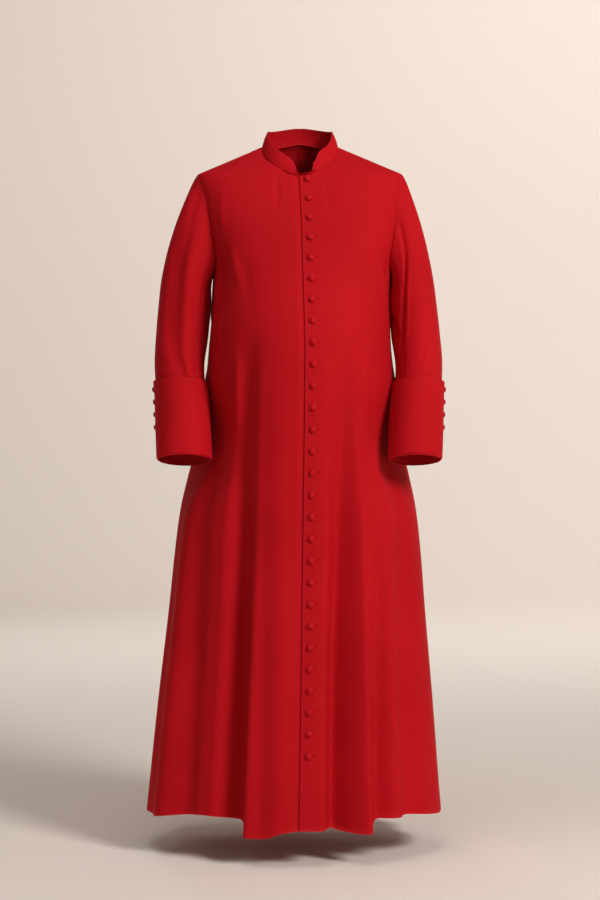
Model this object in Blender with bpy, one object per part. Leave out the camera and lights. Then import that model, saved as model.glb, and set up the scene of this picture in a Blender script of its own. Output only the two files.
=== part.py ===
"""A full-length cassock, worn, with nobody in it.

Metres, +Z up. The origin is between the shoulders, level with the top of the shoulder seams, where
the wearer's shoulders hold it. The front faces -Y and the wearer's left side is +X. Angles round the
body turn from the front (0) towards the wearer's left (90), and turns round a sleeve go from its
outer side (0) over its front (90) to its inner side (180).
"""

import bisect
import math
from collections import namedtuple

import bmesh
import bpy
from mathutils import Matrix, Vector

# Driving dimensions
CLOTH = 0.0018
COLLAR_WALL = 0.0024
SEAM_GAP = 0.0003
NECK_HALF_WIDTH = 0.082
NECK_FRONT = 0.075
NECK_BACK = 0.058
SHOULDER_HALF_WIDTH = 0.228
SHOULDER_DROP = 0.064
ARMHOLE_LOW = -0.275
ARMHOLE_INSET = 0.061  # how far the armhole cuts in from the side, as a share of the half width
HEM = -1.434
UNDER_WRAP = 0.040
UNDER_WRAP_SINK = 0.0030
NOTCH_FROM_EDGE = 0.026  # from the front edge that shows to the collar's left end
SINK_START = 0.014  # the right front starts to dip this far short of the edge, and has dipped by SINK_END
SINK_END = 0.002
COLLAR_HEIGHT = 0.036
CUFF_TOP = -0.511
SLEEVE_END = -0.672
CUFF_STAND = 0.0033  # from the sleeve's face to the cuff's
FOREARM_SEAM = 135.0
BUTTON_RADIUS = 0.0070
BUTTON_HEIGHT = 0.0062
CUFF_BUTTON_RADIUS = 0.0060
FRONT_BUTTONS = 28
BUTTON_INSET = 0.0165
CUFF_BUTTONS = 4
CUFF_BUTTON_PITCH = 0.0270
FIRST_CUFF_BUTTON = 0.0125  # below the cuff's upper edge

# Grid counts
SHOULDER_COLUMNS = 8
SIDE_BACK_COLUMN = 4  # where each back is seamed from its neck to its hem
SKIRT_ROWS = 12
ARMHOLE_ROWS = 12
SLEEVE_HEAD_ROWS = 6
ARM_ROWS = 6
TOP_SLEEVE_COLUMNS = 14
UNDER_SLEEVE_COLUMNS = 10

Section = namedtuple("Section", "z centre_x centre_y half_width front back roundness")
BODY = [
    Section(-1.470, -0.0135, 0.000, 0.3220, 0.245, 0.238, 2.2),
    Section(-1.403, -0.0130, 0.000, 0.3155, 0.240, 0.232, 2.2),
    Section(-1.195, -0.0100, 0.005, 0.2970, 0.232, 0.207, 2.2),
    Section(-0.987, -0.0065, 0.012, 0.2765, 0.228, 0.178, 2.2),
    Section(-0.883, -0.0050, 0.016, 0.2675, 0.228, 0.162, 2.15),
    Section(-0.779, -0.0040, 0.020, 0.2555, 0.229, 0.145, 2.1),
    Section(-0.660, -0.0025, 0.028, 0.2310, 0.2335, 0.122, 2.0),
    Section(-0.600, -0.0015, 0.028, 0.2210, 0.2325, 0.112, 2.0),
    Section(-0.507, 0.0005, 0.020, 0.2080, 0.2235, 0.106, 2.1),
    Section(-0.484, 0.0005, 0.016, 0.2030, 0.2190, 0.107, 2.15),
    Section(-0.440, 0.0000, 0.010, 0.1980, 0.2110, 0.110, 2.2),
    Section(-0.397, 0.0010, 0.005, 0.1945, 0.1990, 0.114, 2.25),
    Section(-0.319, 0.0030, 0.000, 0.1905, 0.1775, 0.118, 2.3),
    Section(-0.270, 0.0055, 0.000, 0.1900, 0.1620, 0.122, 2.35),
    Section(-0.217, 0.0065, 0.000, 0.2010, 0.1435, 0.125, 2.45),
    Section(-0.165, 0.0060, 0.000, 0.2125, 0.1215, 0.122, 2.6),
    Section(-0.106, 0.0030, 0.000, 0.2205, 0.0925, 0.112, 2.75),
    Section(-0.073, 0.0, 0.000, 0.2260, 0.0755, 0.101, 2.7),
    Section(-0.048, 0.0, 0.000, 0.228, 0.0575, 0.090, 2.4),
    Section(-0.028, 0.0, 0.000, 0.228, 0.0335, 0.082, 2.2),
    Section(0.000, 0.0, 0.000, 0.228, 0.0100, 0.072, 2.0),
    Section(0.016, 0.0, 0.000, 0.228, 0.0060, 0.058, 2.0),
    Section(0.040, 0.0, 0.000, 0.228, 0.0040, 0.035, 2.0),
]

# The front edge that shows, from the hem to the neck
Edge = namedtuple("Edge", "z x")
FRONT_EDGE = [
    Edge(-1.470, -0.0020),
    Edge(-1.170, 0.0029),
    Edge(-0.884, 0.0062),
    Edge(-0.574, 0.0103),
    Edge(-0.442, 0.0114),
    Edge(-0.356, 0.0091),
    Edge(-0.260, 0.0063),
    Edge(-0.180, 0.0042),
    Edge(-0.107, 0.0010),
    Edge(-0.060, -0.0020),
]

# Heights of the front buttons; those between are spaced evenly, or nearly
ButtonRow = namedtuple("ButtonRow", "number z")
BUTTON_ROWS = [
    ButtonRow(1, -0.0812),
    ButtonRow(5, -0.2558),
    ButtonRow(10, -0.4794),
    ButtonRow(20, -0.9290),
    ButtonRow(FRONT_BUTTONS, -1.2820),
]

# Folds that hang to the hem, outward where the depth is positive
Fold = namedtuple("Fold", "top_angle hem_angle top_z half_angle depth")
FOLDS = [
    Fold(-11.0, -7.5, -0.38, 10.0, 0.007),
    Fold(-30.0, -30.0, -0.52, 8.0, -0.019),
    Fold(-39.0, -35.0, -0.60, 5.0, 0.007),
    Fold(-51.0, -41.0, -0.66, 7.0, -0.012),
    Fold(-61.0, -60.0, -0.62, 9.0, 0.010),
    Fold(-76.0, -76.0, -0.70, 8.0, -0.006),
    Fold(22.5, 22.5, -0.66, 7.0, -0.013),
    Fold(31.0, 31.5, -0.62, 6.5, 0.013),
    Fold(42.5, 40.5, -0.68, 5.5, -0.019),
    Fold(51.0, 50.0, -0.68, 8.0, 0.007),
    Fold(60.0, 60.0, -0.72, 6.0, -0.005),
    Fold(75.0, 75.0, -0.75, 9.0, 0.003),
    Fold(104.0, 103.0, -0.62, 10.0, -0.016),
    Fold(121.0, 119.0, -0.50, 11.0, 0.018),
    Fold(139.0, 138.0, -0.56, 10.0, -0.020),
    Fold(156.0, 157.0, -0.46, 12.0, 0.016),
    Fold(-179.0, -178.0, -0.58, 10.0, -0.014),
    Fold(-161.0, -162.0, -0.52, 11.0, 0.019),
    Fold(-143.0, -143.0, -0.60, 10.0, -0.018),
    Fold(-125.0, -124.0, -0.48, 11.0, 0.016),
    Fold(-107.0, -106.0, -0.64, 9.0, -0.014),
]

# Where a forearm presses the skirt in
Press = namedtuple("Press", "angle z half_angle half_height depth")
PRESSES = [
    Press(60.0, -0.655, 36.0, 0.170, -0.023),
    Press(-60.0, -0.655, 36.0, 0.170, -0.031),
]

# How far the hem hangs below its own level
Drop = namedtuple("Drop", "angle drop")
HEM_DROPS = [
    Drop(-180.0, 0.000),
    Drop(-120.0, 0.000),
    Drop(-90.0, -0.004),
    Drop(-75.0, -0.004),
    Drop(-54.0, -0.018),
    Drop(-44.0, -0.021),
    Drop(-32.0, -0.011),
    Drop(-24.0, 0.013),
    Drop(-15.0, 0.016),
    Drop(-4.0, 0.003),
    Drop(3.0, 0.001),
    Drop(17.0, 0.001),
    Drop(31.0, 0.010),
    Drop(36.0, 0.005),
    Drop(43.0, -0.017),
    Drop(55.0, -0.017),
    Drop(77.0, -0.006),
    Drop(90.0, -0.004),
    Drop(120.0, 0.000),
    Drop(180.0, 0.000),
]

Arm = namedtuple("Arm", "z centre_x centre_y half_width half_depth tilt left_slim")
ARM = [
    Arm(-0.690, 0.2430, -0.1120, 0.0540, 0.060, 0.20, 0.0012),
    Arm(-0.620, 0.2465, -0.0900, 0.0540, 0.061, 0.18, 0.0015),
    Arm(-0.550, 0.2515, -0.0660, 0.0535, 0.062, 0.15, 0.0020),
    Arm(-0.505, 0.2570, -0.0480, 0.0530, 0.063, 0.12, 0.0030),
    Arm(-0.462, 0.2600, -0.0330, 0.0525, 0.064, 0.08, 0.0035),
    Arm(-0.397, 0.2570, -0.0140, 0.0530, 0.066, 0.03, 0.0045),
    Arm(-0.320, 0.2500, -0.0040, 0.0540, 0.069, 0.0, 0.0055),
]
ARM_TOP = -0.320
HEAD_LEAVES = {1: 0.27, -1: 0.35}  # how far each sleeve head leaves its armhole outward for each step down

Finish = namedtuple("Finish", "colour roughness")
RED_CLOTH = Finish((0.42, 0.008, 0.016, 1.0), 0.85)
RED_BUTTON = Finish((0.40, 0.008, 0.015, 1.0), 0.70)


def smooth_curve(points):
    """A cubic through (x, y) points in order of x, with no bumps between them."""
    xs = [x for x, _ in points]
    ys = [y for _, y in points]
    steps = [b - a for a, b in zip(xs, xs[1:])]
    slopes = [(b - a) / step for a, b, step in zip(ys, ys[1:], steps)]
    tangents = [slopes[0]] + [0.0] * (len(slopes) - 1) + [slopes[-1]]
    for i in range(1, len(slopes)):
        if slopes[i - 1] * slopes[i] > 0:
            near, far = 2 * steps[i] + steps[i - 1], steps[i] + 2 * steps[i - 1]
            tangents[i] = (near + far) / (near / slopes[i - 1] + far / slopes[i])

    def value(x):
        x = min(max(x, xs[0]), xs[-1])
        i = min(bisect.bisect_right(xs, x), len(xs) - 1) - 1
        t = (x - xs[i]) / steps[i]
        rise = t * t * (3 - 2 * t)
        lean = steps[i] * t * (1 - t) * ((1 - t) * tangents[i] - t * tangents[i + 1])
        return (1 - rise) * ys[i] + rise * ys[i + 1] + lean

    return value


def column(rows, name):
    return smooth_curve([(row[0], getattr(row, name)) for row in rows])


centre_x = column(BODY, "centre_x")
centre_y = column(BODY, "centre_y")
table_half_width = column(BODY, "half_width")
front_depth = column(BODY, "front")
back_depth = column(BODY, "back")
roundness = column(BODY, "roundness")
edge_x = column(FRONT_EDGE, "x")
hem_drop = column(HEM_DROPS, "drop")
button_height = column(BUTTON_ROWS, "z")
arm_x = column(ARM, "centre_x")
arm_y = column(ARM, "centre_y")
arm_half_width = column(ARM, "half_width")
arm_half_depth = column(ARM, "half_depth")
arm_tilt = column(ARM, "tilt")
arm_slim = column(ARM, "left_slim")


def half_width(z):
    """The shoulder seam is straight down to its tip, and the table gives the sides below it."""
    if z > -SHOULDER_DROP:
        slope = (SHOULDER_HALF_WIDTH - NECK_HALF_WIDTH) / SHOULDER_DROP
        return max(NECK_HALF_WIDTH - slope * z, 0.02)
    return table_half_width(z)


def degrees_apart(a, b):
    return abs((a - b + 180.0) % 360.0 - 180.0)


def bell(offset):
    return math.cos(offset * math.pi / 2) ** 2 if offset < 1 else 0.0


def fold_depth(angle, z):
    degrees = math.degrees(angle)
    total = 0.0
    for fold in FOLDS:
        down = min((fold.top_z - z) / (fold.top_z - HEM), 1.0)
        if down <= 0:
            continue
        middle = fold.top_angle + (fold.hem_angle - fold.top_angle) * down
        across = bell(degrees_apart(degrees, middle) / fold.half_angle)
        total += fold.depth * math.sin(down * math.pi / 2) * across
    for press in PRESSES:
        across = bell(degrees_apart(degrees, press.angle) / press.half_angle)
        total += press.depth * across * bell(abs(z - press.z) / press.half_height)
    return total


def body_point(angle, z):
    """A point of the outer face of the body's cloth."""
    sine, cosine = math.sin(angle), math.cos(angle)
    depth = front_depth(z) if cosine > 0 else back_depth(z)
    power = roundness(z)
    reach = (abs(sine) / half_width(z)) ** power + (abs(cosine) / depth) ** power
    radius = reach ** (-1 / power) + fold_depth(angle, z)
    return Vector((centre_x(z) + radius * sine, centre_y(z) - radius * cosine, z))


def normal_of(point, a, b, step=1e-4):
    """The unit normal at (a, b) of a surface given as point(a, b)."""
    along = point(a + step, b) - point(a - step, b)
    up = point(a, b + step) - point(a, b - step)
    return along.cross(up).normalized()


def body_normal(angle, z):
    return normal_of(body_point, angle, z)


def angle_at(side, across, z, back):
    """The angle of the body's point that lies this far to a side of the section's centre."""
    power = roundness(z)
    share = min(abs(across) / half_width(z), 1.0)
    depth = (back_depth(z) if back else front_depth(z)) * (1 - share**power) ** (1 / power)
    return side * math.atan2(across, -depth if back else depth)


def neck_level(x, y):
    """The height at which the shoulders' surface passes over a point of the plan."""
    low, high = -0.15, 0.04
    for _ in range(40):
        z = (low + high) / 2
        depth = front_depth(z) if y < 0 else back_depth(z)
        power = roundness(z)
        inside = (abs(x) / half_width(z)) ** power + (abs(y) / depth) ** power < 1
        low, high = (z, high) if inside else (low, z)
    return (low + high) / 2


def neck_point(degrees):
    """(x, y, z) of the neck seam, degrees from the front."""
    sine, cosine = math.sin(math.radians(degrees)), math.cos(math.radians(degrees))
    x = NECK_HALF_WIDTH * sine
    y = -(NECK_FRONT if cosine > 0 else NECK_BACK) * cosine
    return Vector((x, y, neck_level(x, y)))


def armhole_at(turn):
    """(across, z) of the armhole seam; turn is as round a sleeve, in degrees."""
    angle = math.radians(turn)
    middle = (ARMHOLE_LOW - SHOULDER_DROP) / 2
    half = (-SHOULDER_DROP - ARMHOLE_LOW) / 2
    z = middle + half * math.cos(angle)
    return half_width(z) * (1 - ARMHOLE_INSET * abs(math.sin(angle)) ** 1.5), z


def armhole_angle(side, turn):
    """(angle, z) of the armhole seam in the body's own terms."""
    across, z = armhole_at(turn)
    return angle_at(side, across, z, back=math.sin(math.radians(turn)) < 0), z


def arm_point(side, turn, z):
    """A point of the sleeve's outer face, below the sleeve head."""
    angle = math.radians(turn)
    slim = arm_slim(z) if side > 0 else 0.0
    x = arm_x(z) - slim + (arm_half_width(z) - slim) * math.cos(angle)
    forward = arm_half_depth(z) * math.sin(angle)
    return Vector((side * x, arm_y(z) - forward, z + arm_tilt(z) * forward))


def sleeve_point(side, turn, along):
    """A point of the sleeve: along is 0 at the armhole, 1 where the head ends and 2 at the wrist."""
    if along >= 1:
        return arm_point(side, turn, ARM_TOP + (along - 1) * (SLEEVE_END - ARM_TOP))
    start = body_point(*armhole_angle(side, turn))
    end = arm_point(side, turn, ARM_TOP)
    reach = (end - start).length
    sine = math.sin(math.radians(turn))
    leave = Vector((side * (HEAD_LEAVES[side] + 0.55 * abs(sine)), -0.25 * sine, -1.0)).normalized()
    below = arm_point(side, turn, ARM_TOP - 0.01)
    arrive = (below - end).normalized()
    t = along
    rise = t * t * (3 - 2 * t)
    bend = leave * (t * (1 - t) ** 2 * reach) - arrive * (t * t * (1 - t) * reach)
    return start.lerp(end, rise) + bend


def sleeve_normal(side, turn, along):
    normal = normal_of(lambda a, b: sleeve_point(side, a, b), turn, along, step=1e-3)
    return normal * side


def armhole_normal(side, turn):
    """Both walls that meet at the armhole lean the same way there."""
    return (body_normal(*armhole_angle(side, turn)) + sleeve_normal(side, turn, 0.002)).normalized()


def sleeve_lean(side, turn, along):
    """The wall's direction, which turns from the armhole's into the sleeve's own."""
    own = sleeve_normal(side, turn, max(along, 0.002))
    return armhole_normal(side, turn).lerp(own, min(3 * along, 1.0)).normalized()


def patch(start, end, bottom, top):
    """(across, z) pairs that fill the space between four curves, each a list of pairs."""
    rows = len(start) - 1
    grid = []
    for i in range(len(bottom)):
        u = (bottom[i][0] - bottom[0][0]) / (bottom[-1][0] - bottom[0][0])
        line = []
        for j in range(rows + 1):
            v = j / rows
            pair = []
            for k in (0, 1):
                between = (1 - v) * bottom[i][k] + v * top[i][k] + (1 - u) * start[j][k] + u * end[j][k]
                corners = (1 - v) * ((1 - u) * bottom[0][k] + u * bottom[-1][k])
                corners += v * ((1 - u) * top[0][k] + u * top[-1][k])
                pair.append(between - corners)
            line.append(tuple(pair))
        grid.append(line)
    return grid


def row_angles(side, back, offsets, z, columns):
    """Angles of one level's points: at set distances from the front edge, then evenly to the side."""
    middle = 0.0 if back else side * (edge_x(z) - centre_x(z))
    angles = [side * angle_at(side, middle + side * offset, z, back) for offset in offsets]
    rest = columns - len(offsets) + 1
    last = angles[-1]
    angles += [last + (math.pi / 2 - last) * i / rest for i in range(1, rest + 1)]
    return [side * angle for angle in angles]


def body_grid(side, back, offsets, neck_angles):
    """(angle, z) of a panel's grid points, from its centre line to its side, from hem to shoulder."""
    columns = len(neck_angles) - 1 + SHOULDER_COLUMNS

    def start_across(z):
        return side * offsets[0] + (0.0 if back else side * (edge_x(z) - centre_x(z)))

    low = [body_point(angle, ARMHOLE_LOW) for angle in row_angles(side, back, offsets, ARMHOLE_LOW, columns)]
    bottom = [(side * (p.x - centre_x(ARMHOLE_LOW)), ARMHOLE_LOW) for p in low]
    end = [armhole_at(180.0 * (1 - j / ARMHOLE_ROWS)) for j in range(ARMHOLE_ROWS + 1)]
    neck = [neck_point(side * a) for a in neck_angles]
    top = [(side * (p.x - centre_x(p.z)), p.z) for p in neck]
    for i in range(1, SHOULDER_COLUMNS + 1):
        z = -SHOULDER_DROP * i / SHOULDER_COLUMNS
        top.append((half_width(z), z))
    share = [(z - ARMHOLE_LOW) / (-SHOULDER_DROP - ARMHOLE_LOW) for _, z in end]
    heights = [ARMHOLE_LOW + s * (top[0][1] - ARMHOLE_LOW) for s in share]
    start = [(start_across(z), z) for z in heights]
    upper = patch(start, end, bottom, top)
    grid = [[] for _ in range(columns + 1)]
    for row in range(SKIRT_ROWS, 0, -1):
        down = (row / SKIRT_ROWS) ** 1.25
        level = ARMHOLE_LOW + down * (HEM - ARMHOLE_LOW)
        for i, angle in enumerate(row_angles(side, back, offsets, level, columns)):
            grid[i].append((angle, level - hem_drop(math.degrees(angle)) * down**3))
    for i, line in enumerate(upper):
        grid[i] += [(angle_at(side, across, z, back), z) for across, z in line]
    return grid


def offset_walls(grid, point, normal, wall, edge_normal=None, sink=None):
    """Outer and inner points over a grid. The last column may lean as its neighbour's does."""
    outer, inner = [], []
    for i, line in enumerate(grid):
        outer.append([])
        inner.append([])
        for j, (a, b) in enumerate(line):
            lean = normal(a, b)
            face = point(a, b) - lean * (sink(a, b) if sink else 0.0)
            if edge_normal and i == len(grid) - 1:
                lean = edge_normal(j) or lean
            outer[-1].append(face)
            inner[-1].append(face - lean * wall)
    return outer, inner


def trim_edges(points):
    """Draws each edge of a grid of points back by half of the seam's gap."""
    columns, rows = len(points) - 1, len(points[0]) - 1
    moves = []
    for i in range(columns + 1):
        for j in (0, rows):
            moves.append((i, j, i, 1 if j == 0 else rows - 1))
    for j in range(rows + 1):
        for i in (0, columns):
            moves.append((i, j, 1 if i == 0 else columns - 1, j))
    before = [[p.copy() for p in line] for line in points]
    for i, j, near_i, near_j in moves:
        step = (before[near_i][near_j] - before[i][j]).normalized()
        points[i][j] = points[i][j] + step * (SEAM_GAP * 0.6)
    return points


def new_object(name, mesh, finish):
    bmesh.ops.recalc_face_normals(mesh, faces=mesh.faces[:])
    if mesh.calc_volume(signed=True) < 0:
        bmesh.ops.reverse_faces(mesh, faces=mesh.faces[:])
    data = bpy.data.meshes.new(name)
    mesh.to_mesh(data)
    mesh.free()
    data.materials.append(material(finish))
    data.shade_smooth()
    data.set_sharp_from_angle(angle=math.radians(40))
    obj = bpy.data.objects.new(name, data)
    bpy.context.scene.collection.objects.link(obj)
    return obj


def material(finish):
    name = "red cloth" if finish is RED_CLOTH else "red covered button"
    if name in bpy.data.materials:
        return bpy.data.materials[name]
    made = bpy.data.materials.new(name)
    made.use_nodes = True
    shader = made.node_tree.nodes["Principled BSDF"]
    shader.inputs["Base Color"].default_value = finish.colour
    shader.inputs["Roughness"].default_value = finish.roughness
    shader.inputs["Metallic"].default_value = 0.0
    return made


def cloth_wall(name, outer, inner):
    """A closed wall between two grids of points: a flat grid, thickened, then put in its place."""
    columns, rows = len(outer) - 1, len(outer[0]) - 1
    mesh = bmesh.new()
    bmesh.ops.create_grid(mesh, x_segments=columns, y_segments=rows, size=0.5)
    skin = bmesh.ops.extrude_face_region(mesh, geom=mesh.faces[:])
    moved = [v for v in skin["geom"] if isinstance(v, bmesh.types.BMVert)]
    bmesh.ops.translate(mesh, verts=moved, vec=(0, 0, -1))
    for vertex in mesh.verts:
        i = round((vertex.co.x + 0.5) * columns)
        j = round((vertex.co.y + 0.5) * rows)
        vertex.co = (outer if vertex.co.z > -0.5 else inner)[i][j]
    return new_object(name, mesh, RED_CLOTH)


def armhole_lean(side, back):
    """The wall's direction along a panel's side column, where it runs up the armhole."""

    def lean(j):
        step = j - SKIRT_ROWS
        if step < 0:
            return None
        turn = 180.0 * (1 - step / ARMHOLE_ROWS)
        return armhole_normal(side, -turn if back else turn)

    return lean


def under_wrap_sink(angle, z):
    """How far the right front lies in, so that it passes under the left one."""
    inward = (body_point(angle, z).x - edge_x(z) + SINK_START) / (SINK_START - SINK_END)
    t = min(max(inward, 0.0), 1.0)
    return UNDER_WRAP_SINK * t * t * (3 - 2 * t)


def neck_angle(offset):
    """Degrees round the neck of a point at this distance from the front edge."""
    return math.degrees(math.asin((edge_x(-NECK_FRONT) + offset) / NECK_HALF_WIDTH))


def make_body():
    left = (0.0, NOTCH_FROM_EDGE, UNDER_WRAP)
    right = (UNDER_WRAP, NOTCH_FROM_EDGE, -SINK_END, -SINK_START)
    ring = [15.0 * step for step in range(2, 7)]
    panels = (
        ("front_left", 1, False, left, [neck_angle(x) for x in left], None),
        ("front_right", -1, False, right, [-neck_angle(x) for x in right], under_wrap_sink),
        ("back_left", 1, True, (0.0,), [180.0, 165.0], None),
        ("back_right", -1, True, (0.0,), [180.0, 165.0], None),
    )
    for name, side, back, offsets, neck_angles, sink in panels:
        neck_angles += [180.0 - a for a in ring] if back else ring
        grid = body_grid(side, back, offsets, neck_angles)
        lean = armhole_lean(side, back)
        outer, inner = offset_walls(grid, body_point, body_normal, CLOTH, lean, sink)
        cuts = [0, SIDE_BACK_COLUMN, len(grid) - 1] if back else [0, len(grid) - 1]
        for piece, first, last in zip((name, "side_" + name), cuts, cuts[1:]):
            walls = [[line[:] for line in wall[first : last + 1]] for wall in (outer, inner)]
            cloth_wall(piece, trim_edges(walls[0]), trim_edges(walls[1]))


def hindarm_seam(along):
    """The back seam of a sleeve comes round to the outer side at the wrist."""
    return -75.0 + 50.0 * max(along - 0.2, 0.0) / 1.8


def make_sleeves(side, word):
    heights = [i / SLEEVE_HEAD_ROWS for i in range(SLEEVE_HEAD_ROWS)]
    heights += [1 + i / ARM_ROWS for i in range(ARM_ROWS + 1)]
    parts = (
        ("sleeve_top_" + word, TOP_SLEEVE_COLUMNS, hindarm_seam, lambda s: FOREARM_SEAM),
        (
            "sleeve_under_" + word,
            UNDER_SLEEVE_COLUMNS,
            lambda s: FOREARM_SEAM,
            lambda s: 360.0 + hindarm_seam(s),
        ),
    )
    for name, columns, first, last in parts:
        outer, inner = [], []
        for i in range(columns + 1):
            outer.append([])
            inner.append([])
            for along in heights:
                turn = first(along) + (last(along) - first(along)) * i / columns
                face = sleeve_point(side, turn, along)
                lean = sleeve_lean(side, turn, along)
                outer[-1].append(face)
                inner[-1].append(face - lean * CLOTH)
        cloth_wall(name, trim_edges(outer), trim_edges(inner))


def cuff_point(side, turn, along, stand=CUFF_STAND):
    """A point of the cuff's outer face; along is 0 at its lower edge and 1 at its upper one."""
    z = SLEEVE_END - 0.002 + along * (CUFF_TOP - SLEEVE_END)
    centre = Vector((side * arm_x(z), arm_y(z), z))
    face = arm_point(side, turn, z)
    away = face - centre
    return face + away.normalized() * stand


def make_cuff(side, word):
    columns, rows = 24, 3
    opening = hindarm_seam(2.0)
    outer, inner = [], []
    for i in range(columns + 1):
        turn = opening + 360.0 * i / columns
        outer.append([cuff_point(side, turn, j / rows) for j in range(rows + 1)])
        inner.append([cuff_point(side, turn, j / rows, CUFF_STAND - CLOTH) for j in range(rows + 1)])
    cuff = cloth_wall("cuff_" + word, trim_edges(outer), trim_edges(inner))
    for number in range(CUFF_BUTTONS):
        along = 1 - (FIRST_CUFF_BUTTON + number * CUFF_BUTTON_PITCH) / (CUFF_TOP - SLEEVE_END)
        turn = opening + 14.0
        face = cuff_point(side, turn, along)
        line = cuff_point(side, turn, along, stand=0.05) - face
        place, away = facing(cuff, face + line, -line)
        make_button(f"cuff_button_{word}_{number + 1}", place, away, CUFF_BUTTON_RADIUS)


def make_collar():
    """A stand collar round the neck seam that leans in towards its top edge."""
    ring = [15.0 * step for step in range(2, 23)]
    right_end = [360.0 + neck_angle(x) for x in (-SINK_START, -SINK_END)]
    angles = [neck_angle(NOTCH_FROM_EDGE)] + ring + right_end
    rows = 3
    outer, inner = [], []
    for i, degrees in enumerate(angles):
        base = neck_point(degrees) + Vector((0, 0, SEAM_GAP))
        cosine = math.cos(math.radians(degrees))
        flat = Vector((base.x / NECK_HALF_WIDTH, base.y / NECK_FRONT, 0)).normalized()
        lean = 0.38 if cosine > 0 else 0.38 + 0.25 * cosine
        up = (Vector((0, 0, 1)) - flat * lean).normalized()
        normal = (flat + Vector((0, 0, lean))).normalized()
        end = min(i, len(angles) - 1 - i)
        rise = COLLAR_HEIGHT * (0.72 if end == 0 else 1.0)
        open_out = (0.006 if i == 0 else -0.006) if end == 0 else 0.0
        outer.append([])
        inner.append([])
        for j in range(rows + 1):
            face = base + up * (rise * j / rows) + Vector((open_out * j / rows, 0, 0))
            outer[-1].append(face)
            inner[-1].append(face - normal * COLLAR_WALL)
    cloth_wall("collar", outer, inner)


def facing(panel, start, direction):
    """(place, normal) where a line from start first meets a panel."""
    hit, place, away, _ = panel.ray_cast(start, direction)
    if not hit:
        raise ValueError(f"no cloth of {panel.name} on this line")
    return place, away


def make_button(name, place, away, radius):
    """A covered dome on a short shank, turned about the cloth's normal."""
    height = BUTTON_HEIGHT * radius / BUTTON_RADIUS
    profile = [(0.0, 1.0), (0.55, 0.86), (0.92, 0.48), (0.94, 0.26), (0.5, 0.0), (0.0, 0.0)]
    mesh = bmesh.new()
    points = [mesh.verts.new((radius * r, 0, SEAM_GAP + height * h)) for r, h in profile]
    for a, b in zip(points, points[1:]):
        mesh.edges.new((a, b))
    bmesh.ops.spin(
        mesh, geom=mesh.verts[:] + mesh.edges[:], axis=(0, 0, 1), angle=2 * math.pi, steps=10, use_merge=True
    )
    bmesh.ops.remove_doubles(mesh, verts=mesh.verts[:], dist=1e-6)
    turn = Vector((0, 0, 1)).rotation_difference(away).to_matrix().to_4x4()
    bmesh.ops.transform(mesh, matrix=Matrix.Translation(place) @ turn, verts=mesh.verts[:])
    return new_object(name, mesh, RED_BUTTON)


def make_front_buttons(panel):
    ahead = Vector((0, -0.05, 0))
    for number in range(1, FRONT_BUTTONS + 1):
        z = button_height(number)
        angle = angle_at(1, edge_x(z) + BUTTON_INSET - centre_x(z), z, back=False)
        place, away = facing(panel, body_point(angle, z) + ahead, -ahead)
        make_button(f"button_{number:02d}", place, away, BUTTON_RADIUS)


def main():
    for obj in list(bpy.data.objects):
        bpy.data.objects.remove(obj)
    make_body()
    make_collar()
    for side, word in ((1, "left"), (-1, "right")):
        make_sleeves(side, word)
        make_cuff(side, word)
    bpy.context.view_layer.update()
    make_front_buttons(bpy.data.objects["front_left"])


main()
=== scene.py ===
"""A red full-length cassock, worn, with nobody in it: a stand collar, a front closed by a row of covered
buttons, set-in sleeves with deep turned-back cuffs, and a skirt that hangs in soft folds.

Metres, +Z up, the front faces -Y and the wearer's left side is +X. Angles round the body turn from the
front (0) towards the wearer's left (90). Turns round a sleeve go from its outer side (0) over its front
(90) to its inner side (180).
"""

import bisect
import math
from collections import namedtuple

import bmesh
import bpy
from mathutils import Matrix, Vector


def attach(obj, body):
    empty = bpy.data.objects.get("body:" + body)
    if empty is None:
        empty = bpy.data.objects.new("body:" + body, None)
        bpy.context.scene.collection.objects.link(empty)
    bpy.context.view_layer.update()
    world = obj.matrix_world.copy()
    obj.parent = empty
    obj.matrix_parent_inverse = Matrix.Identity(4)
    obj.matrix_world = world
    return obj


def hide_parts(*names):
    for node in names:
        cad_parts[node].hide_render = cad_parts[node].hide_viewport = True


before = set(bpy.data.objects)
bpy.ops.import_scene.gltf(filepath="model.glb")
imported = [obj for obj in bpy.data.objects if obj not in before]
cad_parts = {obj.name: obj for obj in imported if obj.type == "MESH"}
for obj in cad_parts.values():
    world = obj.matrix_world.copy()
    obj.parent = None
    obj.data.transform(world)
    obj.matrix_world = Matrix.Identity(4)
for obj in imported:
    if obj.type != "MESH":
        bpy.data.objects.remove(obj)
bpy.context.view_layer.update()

# ---------------------------------------------------------------- the pattern's sizes, in metres
CLOTH = 0.0018
COLLAR_WALL = 0.0024
SEAM_GAP = 0.0003
RIM = 0.0006  # rounding of every cut or folded edge
NECK_HALF_WIDTH = 0.082
NECK_FRONT = 0.075
NECK_BACK = 0.058
SHOULDER_HALF_WIDTH = 0.228
SHOULDER_DROP = 0.064
SHOULDER_SLOPE = SHOULDER_DROP / (SHOULDER_HALF_WIDTH - NECK_HALF_WIDTH)
ARMHOLE_LOW = -0.275
ARMHOLE_INSET = 0.061
HEM = -1.434
UNDER_WRAP = 0.040  # the right front goes this far under the left one
UNDER_WRAP_SINK = 0.0030  # and lies this much lower there
SINK_START = 0.014  # it starts to sink this far outside the left front's edge
SINK_END = 0.002
NOTCH_FROM_EDGE = 0.026  # from the front edge to the collar's left end
COLLAR_HEIGHT = 0.036
COLLAR_LEAN = 0.38
CUFF_TOP = -0.511
SLEEVE_END = -0.672
CUFF_STAND = 0.0033
FOREARM_SEAM = 135.0
HINDARM_TOP = -75.0
HINDARM_SWING = 50.0
BUTTON_RADIUS = 0.0070
BUTTON_HEIGHT = 0.0062
CUFF_BUTTON_RADIUS = 0.0060
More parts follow.
